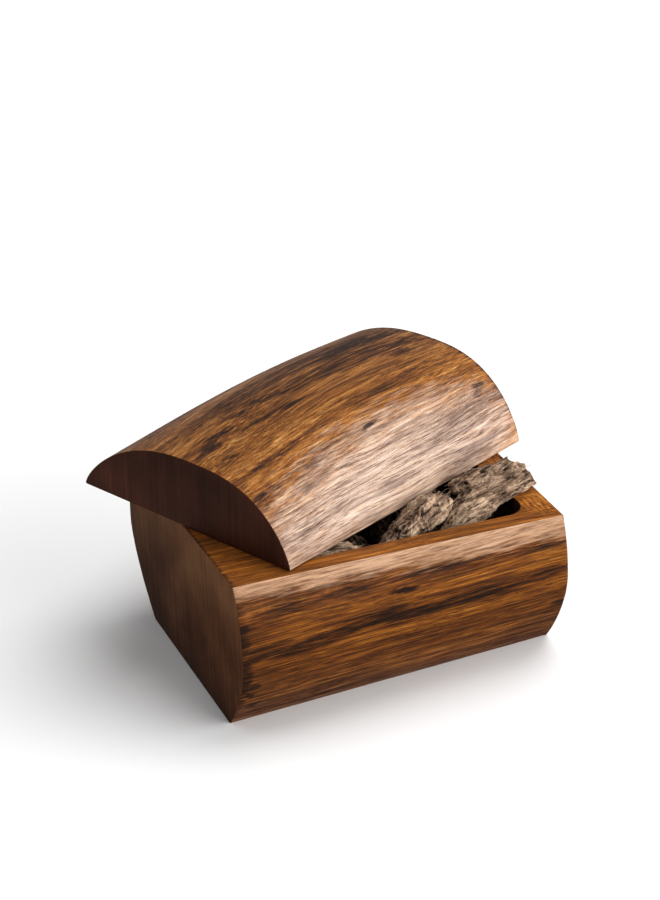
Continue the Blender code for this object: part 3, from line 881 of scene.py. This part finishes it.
# Marks and pale patches are in mm on the piece itself: along, across, half length, half width, slope, depth
lidLook = {
    "ramp": goldenRamp,
    "tone": 0.55,
    "bandDepth": 0.75,
    "streakDepth": 0.95,
    "threadDepth": 1.35,
    "poreDepth": 0.16,
    "veinDepth": 0.26,
    "bandPitch": 8.0,
    "wander": 6.0,
    "wanderRun": 80.0,
    "shift": 0.0,
    "mineral": 0.55,
    "mineralPitch": 1.3,
    "mineralTint": "#3d271b",
    "markAndShadeDepth": 0.46,
    "roughness": 0.36,
    "relief": 0.10,
    "gloss": 0.28,  # specular level of the oil film
    # the pale patches: paler sapwood with a painted sheen, a pinkish ramp and grey-violet lines standing in
    # for the softbox's satin highlight
    "sapwoodAndSheenRamp": [(0.1, "#4b352a"), (0.35, "#866a58"), (0.58, "#b2957f"), (0.85, "#cfb7a2")],
    "sapwoodAndSheenMineral": "#6d564c",
    "quilt": [],
    "paleSapwoodAndSheen": [(76, 2, 94, 24, 0.02, 1.0), (110, 13, 32, 13, 0.1, 0.6), (80, 119, 130, 12, 0.0, 0.7)],
    "knots": [(13.5, 57.2, 7.5, 4.6), (138, 51, 10, 4.2), (151, 17.5, 4.6, 1.4), (76, 21.4, 7, 1.4)],
    "marksAndPaintedLight": [
        # the first two marks darken the crest: partly a darker band of wood, partly painted shade where the
        # top of the dome gets less light
        (118, 62, 46, 9, -0.05, 1.0),
        (126, 73, 38, 9, -0.05, 1.0),
        (60, 74, 50, 7, 0.0, 0.6),
        (63, 64.5, 20, 3.0, -0.3, 1.0),
        (52, 53, 20, 2.2, -0.1, 1.0),
        (24, 62, 12, 2.2, -0.2, 1.0),
        (12.5, 45.5, 5, 1.4, -0.2, 0.8),
        (40.5, 66.3, 8, 2.4, -0.2, 0.8),
        (95, 60, 26, 3.4, -0.2, 0.75),
        (120, 66, 30, 3.0, -0.1, 0.6),
        (4, 20.7, 4.5, 1.7, 0.1, 0.8),
        (78, 21.4, 6, 1.1, 0.15, 0.85),
        (151, 16, 6, 1.9, 0.35, 0.7),
        (112, 76, 30, 8, -0.05, 0.8),
        (30, 32, 26, 1.6, 0.0, 0.6),
        (100, 33, 30, 1.7, 0.05, 0.55),
        (60, 82, 34, 3.5, 0.0, 0.6),
        (30, 100, 24, 2.6, 0.0, 0.6),
        (110, 96, 34, 3.2, 0.05, 0.6),
        (165, 62, 3.8, 66, 0.0, 1.0),
    ],
}

# The side marks are unrolled from the front foot edge: 0 to 73 is the front, then the rim, then the back
sideLook = dict(
    lidLook,
    tone=0.47,
    shift=11.0,
    wander=5.0,
    wanderRun=90.0,
    # the pale patches along the top of the front and the back: paler sapwood with a painted sheen
    paleSapwoodAndSheen=[
        (50, 73, 70, 11, 0.0, 1.0),
        (66, 71, 34, 10, 0.0, 1.0),
        (-10, 74, 60, 8, 0.0, 1.0),
        (-60, 74, 40, 4.5, 0.0, 0.7),
        (0, 197, 120, 8, 0.0, 0.7),
    ],
    ramp=sideRamp,
    bandDepth=0.6,
    streakDepth=0.75,
    gloss=0.06,
    mineralTint="#38220f",
    sapwoodAndSheenRamp=[(0.1, "#7c5c46"), (0.35, "#ab8465"), (0.58, "#bf9879"), (0.85, "#d6b08e")],
    sapwoodAndSheenMineral="#775f52",
    roughness=0.38,
    knots=[(-4, 56.5, 9, 1.8), (-76, 22, 3.5, 2.2), (60, 228, 7, 3.5)],
    marksAndPaintedLight=[
        (-62, 62, 15, 2.2, 0.02, 0.75),
        (-28, 62.5, 22, 1.6, 0.02, 0.7),
        (12, 62, 26, 1.8, -0.02, 0.7),
        (60, 58.5, 18, 1.5, 0.03, 0.9),
        (-72, 45, 15, 4.2, 0.03, 1.0),
        (-48, 43, 22, 3.6, 0.1, 1.0),
        (-22, 47, 22, 3.4, 0.05, 1.0),
        (-81, 36, 4.5, 36, 0.0, 1.0),
        (82, 36, 3.5, 36, 0.0, 0.8),
        (6, 44, 20, 3.4, 0.0, 0.8),
        (34, 44, 24, 3.6, 0.0, 0.8),
        (66, 45.5, 12, 2.6, 0.1, 0.95),
        (-4, 56.5, 8, 1.3, -0.12, 0.8),
        (-75, 27, 3.2, 2.4, 0.0, 1.0),
        (-74, 13, 3.6, 2.6, 0.1, 1.0),
        (-72, 20, 9, 1.0, 0.0, 0.6),
        (74, 27, 5, 2.4, 0.1, 0.8),
        (-56, 12, 44, 13, 0.0, 0.34),
        (64, 13, 34, 13, 0.0, 0.4),
        (20, 20, 30, 1.1, 0.02, 0.5),
        (-30, 225, 34, 3.4, 0.0, 0.9),
        (38, 214, 28, 3.0, 0.03, 0.85),
        (20, 240, 30, 2.6, 0.0, 0.7),
        (-60, 246, 12, 3.0, 0.0, 0.9),
    ],
)

# The rim's marks are the stained edges of its two ends
rimLook = dict(
    lidLook,
    ramp=rimRamp,
    tone=0.54,
    bandDepth=0.6,
    streakDepth=1.1,
    threadDepth=1.0,
    poreDepth=0.2,
    shift=21.0,
    mineral=0.35,
    mineralTint="#3a200f",
    gloss=0.2,
    markAndShadeDepth=0.5,
    roughness=0.55,
    relief=0.06,
    marksAndPaintedLight=[(81.5, 134, 3.6, 70, 0.0, 1.0), (-80.5, 134, 1.8, 70, 0.0, 0.8)],
    knots=[],
    paleSapwoodAndSheen=[],
    quilt=[(74, -47, 15, 16), (76, 10, 9, 26)],
)

# The hollow and the lid's underside, which are left unoiled: matt, with a near-black ramp that is painted
# shade, as little light reaches into the well or under the lid
shadedWellLook = dict(
    rimLook,
    quilt=[],
    marksAndPaintedLight=[],
    ramp=[(0.0, "#120a05"), (0.5, "#2c190d"), (1.0, "#4a2d17")],
    shift=31.0,
    roughness=0.8,
    relief=0.1,
)


def endGrainFinish(name, look):
    # sawn end grain soaks the stain up: nearly black brown, matt, with faint rings, pores and blade lines
    constants = {"IOR": 1.45, "Specular IOR Level": look["gloss"], "Roughness": look["roughness"]}
    material, tree, shader = startMaterial(name, constants)
    place = addNode(tree, attributeNode, attribute_name="woodPlace").node.outputs["Vector"]
    fromPith = addNode(tree, vectorNode, [place, (0, *look["pith"])], operation="SUBTRACT")
    _, y, z = addNode(tree, "ShaderNodeSeparateXYZ", [fromPith]).node.outputs
    flat = addNode(tree, "ShaderNodeCombineXYZ", [0, y, z])
    warp = addNode(tree, noiseNode, {"Vector": flat, "Scale": 1 / look["warpSize"], "Detail": 2})
    radius = addNode(tree, vectorNode, [flat], operation="LENGTH").node.outputs["Value"]
    radius = summed(tree, radius, (warp, look["warp"]))
    years = addNode(tree, mathNode, [radius, 1 / look["ringPitch"]], operation="MULTIPLY")
    years = addNode(tree, "ShaderNodeCombineXYZ", [years])
    ring = addNode(tree, noiseNode, {"Vector": years, "Scale": 1, "Detail": 2})
    bladeLines = (0, 1 / look["bladePitch"], 1 / look["bladeRun"])
    blade = addNode(tree, vectorNode, [flat, bladeLines], operation="MULTIPLY")
    blade = addNode(tree, noiseNode, {"Vector": blade, "Scale": 1, "Detail": 3, "Roughness": 0.6})
    pore = addNode(tree, noiseNode, {"Vector": flat, "Scale": 1 / look["poreSize"], "Detail": 1})
    cloud = addNode(tree, noiseNode, {"Vector": flat, "Scale": 1 / look["cloudSize"], "Detail": 2})
    tone = summed(tree, look["tone"], (cloud, look["cloudDepth"]), (z, look["upwardLightening"]),
                  (blade, look["bladeDepth"]), (ring, look["ringDepth"]), (pore, look["poreDepth"]))
    colour = addNode(tree, "ShaderNodeValToRGB", [tone], stops=look["ramp"])
    tree.links.new(colour, shader.inputs["Base Color"])
    bump = {"Strength": 1, "Distance": look["relief"] * mm, "Height": summed(tree, pore, (blade, 0.6))}
    tree.links.new(addNode(tree, "ShaderNodeBump", bump), shader.inputs["Normal"])
    return material


endLook = {
    "ramp": [(0.0, "#2a160b"), (0.35, "#482a19"), (0.65, "#5c3b25"), (1.0, "#765236")],
    "tone": -0.29,
    "gloss": 0.03,
    "roughness": 0.62,
    "relief": 0.06,
    "pith": (3.0, 58.0),  # across and up, in mm
    "ringPitch": 2.4,
    "ringDepth": 0.16,
    "warpSize": 26.0,
    "warp": 16.0,
    "bladePitch": 2.2,
    "bladeRun": 90.0,
    "bladeDepth": 0.65,
    "poreSize": 0.55,
    "poreDepth": 0.2,
    "cloudSize": 30.0,
    "cloudDepth": 0.9,
    "upwardLightening": 0.009,  # lighter by this for each mm further up
}
lidEndLook = dict(
    endLook,
    ramp=[(0.0, "#1c0d07"), (0.4, "#351a10"), (0.7, "#452316"), (1.0, "#5c3522")],
    pith=(62.0, -14.0),
    upwardLightening=0.0,
    tone=-0.43,
    gloss=0.12,
)


def agarwoodFinish(name, look):
    # wild, weathered heartwood: dry grey-tan fibres, darker in the veins and pits for dark resin and as
    # painted shade by depth, no shine
    shift = look["shift"]
    constants = {"IOR": 1.45, "Roughness": look["roughness"], "Specular IOR Level": look["gloss"]}
    material, tree, shader = startMaterial(name, constants)
    place = addNode(tree, attributeNode, attribute_name="grainPlace").node.outputs["Vector"]
    resinAndShade = addNode(tree, attributeNode, attribute_name="resinAndShade").node.outputs["Fac"]
    wander = addNode(tree, noiseNode, {"Vector": place, "Scale": 1 / look["wanderSize"], "Detail": 2})
    sway = [wander.node.outputs["Color"], (0, look["wander"], look["wander"]), place]
    place = addNode(tree, vectorNode, sway, operation="MULTIPLY_ADD")
    patch = grainNoise(tree, place, *look["patch"], shift, 2)
    fibre = grainNoise(tree, place, *look["fibre"], shift + 1, 3, 0.65)
    thread = grainNoise(tree, place, *look["thread"], shift + 2, 2, 0.6)
    speck = grainNoise(tree, place, *look["speck"], shift + 4, 2)
    speck = addNode(tree, rangeNode, [speck, *look["speckLevels"]])
    mean = (look["patchDepth"] + look["fibreDepth"] + look["threadDepth"]) / 2
    tone = summed(tree, look["tone"] - mean, (patch, look["patchDepth"]), (fibre, look["fibreDepth"]),
                  (thread, look["threadDepth"]), (speck, -look["speckDepth"]),
                  (resinAndShade, -look["resinAndShadeDepth"]))
    colour = addNode(tree, "ShaderNodeValToRGB", [tone], stops=look["ramp"])
    tree.links.new(colour, shader.inputs["Base Color"])
    relief = summed(tree, fibre, (speck, -0.4), (thread, 0.5))
    bump = {"Strength": 1, "Distance": look["relief"] * mm, "Height": relief}
    tree.links.new(addNode(tree, "ShaderNodeBump", bump), shader.inputs["Normal"])
    return material


# Run along the fibres and pitch across them in mm, depths as shares
agarwoodLook = {
    "ramp": [(0.0, "#21160f"), (0.2, "#4c392c"), (0.4, "#7f6653"), (0.6, "#a1866e"), (0.8, "#bfa58a"),
             (1.0, "#dcc6aa")],
    "tone": 0.55,
    "roughness": 0.85,
    "gloss": 0.3,
    "relief": 0.3,
    "wanderSize": 9.0,
    "wander": 5.0,
    "patch": (20.0, 7.0),
    "patchDepth": 1.1,
    "fibre": (15.0, 1.0),
    "fibreDepth": 1.2,
    "thread": (9.0, 0.5),
    "threadDepth": 0.7,
    "speck": (2.2, 1.1),
    "speckLevels": (0.6, 0.72),
    "speckDepth": 0.25,
    "resinAndShadeDepth": 0.75,
}


def paleMatt(name, hexCode):
    # matt paper sweep, only there to catch the shadow
    material, tree, shader = startMaterial(name, {"Roughness": 0.9, "Specular IOR Level": 0.1})
    place = addNode(tree, "ShaderNodeTexCoord").node.outputs["Object"]
    cloud = addNode(tree, noiseNode, {"Vector": place, "Scale": 3, "Detail": 2})
    cloud = addNode(tree, rangeNode, {0: cloud, 3: 0.985, 4: 1.0})
    mixed = {0: 1, 6: linearColour(hexCode), 7: cloud}
    colour = addNode(tree, "ShaderNodeMix", mixed, data_type="RGBA", blend_type="MULTIPLY").node.outputs[2]
    tree.links.new(colour, shader.inputs["Base Color"])
    return material


# Where the camera stands and what it looks at, its roll in radians, the rest in mm
shot = {
    "place": (-365.8, -813.4, 555.8),
    "target": (-18.1, -24.2, 108.2),
    "roll": -0.0329,
    "lens": 89.86,
    "sensor": 36,
}

# Softboxes: azimuth from the front towards the right and elevation in degrees, the rest in metres and watts
lamps = {
    "frontRight": {"azimuth": 50, "elevation": 17, "away": 5.0, "wide": 7.7, "tall": 3.0, "power": 467},
    "left": {"azimuth": -110, "elevation": 50, "away": 1.6, "wide": 1.3, "tall": 1.0, "power": 3},
}
skylight = {"azimuth": 110, "elevation": 64, "spread": 50, "strength": 2.0}  # one large diffuser
room = {"aimHeight": 0.06, "paperHalf": 14.0, "paper": "#f4f4f4", "fill": 0.27}  # sizes in metres


def towards(azimuth, elevation):
    a = math.radians(azimuth)
    e = math.radians(elevation)
    return Vector((math.sin(a) * math.cos(e), -math.cos(a) * math.cos(e), math.sin(e)))


def hangLight(light, away):
    # a lamp that shines back from the direction away
    lamp = bpy.data.objects.new(light.name, light)
    lamp.rotation_euler = away.to_track_quat("Z", "Y").to_euler()
    bpy.context.scene.collection.objects.link(lamp)
    return lamp


def softbox(name, lamp):
    light = bpy.data.lights.new(name, "AREA")
    light.shape = "RECTANGLE"
    light.size = lamp["wide"]
    light.size_y = lamp["tall"]
    light.energy = lamp["power"]
    away = towards(lamp["azimuth"], lamp["elevation"])
    hangLight(light, away).location = Vector((0, 0, room["aimHeight"])) + away * lamp["away"]


def cameraAndStage():
    place = Vector(shot["place"]) * mm
    target = Vector(shot["target"]) * mm
    roll = shot["roll"]
    ahead = (target - place).normalized()
    right = ahead.cross(Vector((0, 0, 1))).normalized()
    up = right.cross(ahead)
    tiltedRight = math.cos(roll) * right + math.sin(roll) * up
    tiltedUp = -math.sin(roll) * right + math.cos(roll) * up
    camera = bpy.data.objects.new("camera", bpy.data.cameras.new("camera"))
    camera.data.lens = shot["lens"]
    camera.data.sensor_width = shot["sensor"]
    pose = Matrix((tiltedRight, tiltedUp, -ahead)).transposed().to_4x4()
    pose.translation = place
    camera.matrix_world = pose
    bpy.context.scene.collection.objects.link(camera)
    bpy.context.scene.camera = camera

    half = room["paperHalf"]
    corners = [(-half, -half, 0), (half, -half, 0), (half, half, 0), (-half, half, 0)]
    floor = meshObject("floor", corners, [(0, 1, 2, 3)])
    floor.data.materials.append(paleMatt("paperSweep", room["paper"]))
    floor.visible_glossy = False  # the wood's satin film shows the lamps, not the paper

    world = bpy.data.worlds.new("studio")
    world.use_nodes = True
    background = world.node_tree.nodes["Background"].inputs
    background["Color"].default_value = (1, 1, 1, 1)
    background["Strength"].default_value = room["fill"]
    bpy.context.scene.world = world
    bpy.context.scene.view_settings.view_transform = "Standard"
    for name, lamp in lamps.items():
        softbox(name, lamp)
    above = bpy.data.lights.new("overhead", "SUN")
    above.energy = skylight["strength"]
    above.angle = math.radians(skylight["spread"])
    above = hangLight(above, towards(skylight["azimuth"], skylight["elevation"]))
    above.visible_glossy = False  # it fills in from above, and leaves the sheen to the softbox


# Where one finish ends and the next begins, in mm past the solid's own faces
borders = {
    "aroundWell": 0.3,
    "underFloor": 0.5,
    "underRim": 0.4,
    "onRim": 0.8,
    "wallTilt": 0.6,  # a face of the well's wall points up less than this
    "rimTilt": 0.8,
    "undersideTilt": 0.9,
    "endTilt": 0.35,  # the stain runs over the sawn edges too
    "crispAngle": 40,  # degrees between faces that stay sharp
}


def ownPlaces(piece, figure):
    # every point's place in the piece's own frame, in mm, and its place on the unrolled surface
    points = np.array([vertex.co[:] for vertex in piece.data.vertices])
    for name, values in (("woodPlace", points), ("figurePlace", figure(points))):
        places = piece.data.attributes.new(name, "FLOAT_VECTOR", "POINT")
        places.data.foreach_set("vector", values.astype(np.float32).ravel())


def unrolledBox(points):
    x, y, z = points.T
    rim = rimHeight(x)
    front = np.where(y < 0, z, 2 * rim - z + 2 * boxShape["rimHalf"])
    onRim = (z > rim - borders["onRim"]) & (np.abs(y) < boxShape["rimHalf"])
    return np.stack([x, np.where(onRim, rim + y + boxShape["rimHalf"], front), np.zeros_like(x)], 1)


def flatLid(points):
    return points * (1, 1, 0)


def dressFaces(piece, finishes, kindOf):
    # a finish for each face by where it is, with crisp shading where two finishes meet
    for finish in finishes:
        piece.data.materials.append(finish)
    shape = bmesh.new()
    shape.from_mesh(piece.data)
    for face in shape.faces:
        face.material_index = kindOf(face.calc_center_median(), face.normal)
        face.smooth = True
    for edge in shape.edges:
        kinds = {face.material_index for face in edge.link_faces}
        edge.smooth = len(kinds) == 1 and edge.calc_face_angle(0) < math.radians(borders["crispAngle"])
    shape.to_mesh(piece.data)
    shape.free()


def boxFaceKind(centre, normal):
    # 0 long grain, 1 end grain, 2 rim, 3 well
    w = wellShape
    slack = borders["aroundWell"]
    inWell = w["left"] - slack < centre.x < w["right"] + slack and abs(centre.y) < w["half"] + slack
    underRim = centre.z < rimHeight(centre.x) - borders["underRim"] or normal.z < borders["wallTilt"]
    if inWell and underRim and centre.z > w["floor"] - borders["underFloor"]:
        return 3
    if abs(normal.x) > borders["endTilt"]:
        return 1
    return 2 if normal.z > borders["rimTilt"] else 0


def lidFaceKind(centre, normal):
    # 0 long grain, 1 end grain, 2 the flat sawn underside
    if abs(normal.x) > borders["endTilt"]:
        return 1
    return 2 if normal.z < -borders["undersideTilt"] else 0


print("stage and camera")
cameraAndStage()

print("box")
box = makeBox()
box.data.transform(Matrix.Scale(1 / mm, 4))
ownPlaces(box, unrolledBox)
boxFinishes = [
    hardwoodFinish("oiledHardwoodSides", sideLook),
    endGrainFinish("stainedEndGrain", endLook),
    hardwoodFinish("oiledHardwoodRim", rimLook),
    hardwoodFinish("routedWellInPaintedShade", shadedWellLook),
]
dressFaces(box, boxFinishes, boxFaceKind)
box.data.transform(Matrix.Scale(mm, 4))
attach(box, "root")
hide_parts("box_body")

print("lid")
lidWood = hardwoodFinish("oiledHardwoodLid", lidLook)
lid = growWithTree(meshObject("lidRough", [], []), lidTree(), dict(lidShape, finish=lidWood))
lid = finished(lid, "lidSlab")
faceOutward(lid.data)
lid.data.materials.clear()
ownPlaces(lid, flatLid)
lidFinishes = [
    lidWood,
    endGrainFinish("stainedLidEndGrain", lidEndLook),
    hardwoodFinish("sawnUndersideInPaintedShade", dict(shadedWellLook, shift=41.0)),
]
dressFaces(lid, lidFinishes, lidFaceKind)
lid.data.transform(lidPlace())
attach(lid, "root")
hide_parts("lid")

print("agarwood")
fibres = frayedTree()
for number, (name, (form, middle, turns, seed, voxel)) in enumerate(heap.items()):
    finish = agarwoodFinish("driedAgarwood" + str(number + 1), dict(agarwoodLook, shift=seed))
    piece = makeAgarwood(name, form, middle, turns, seed, voxel, finish, fibres)
    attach(piece, "root")
    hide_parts(name)
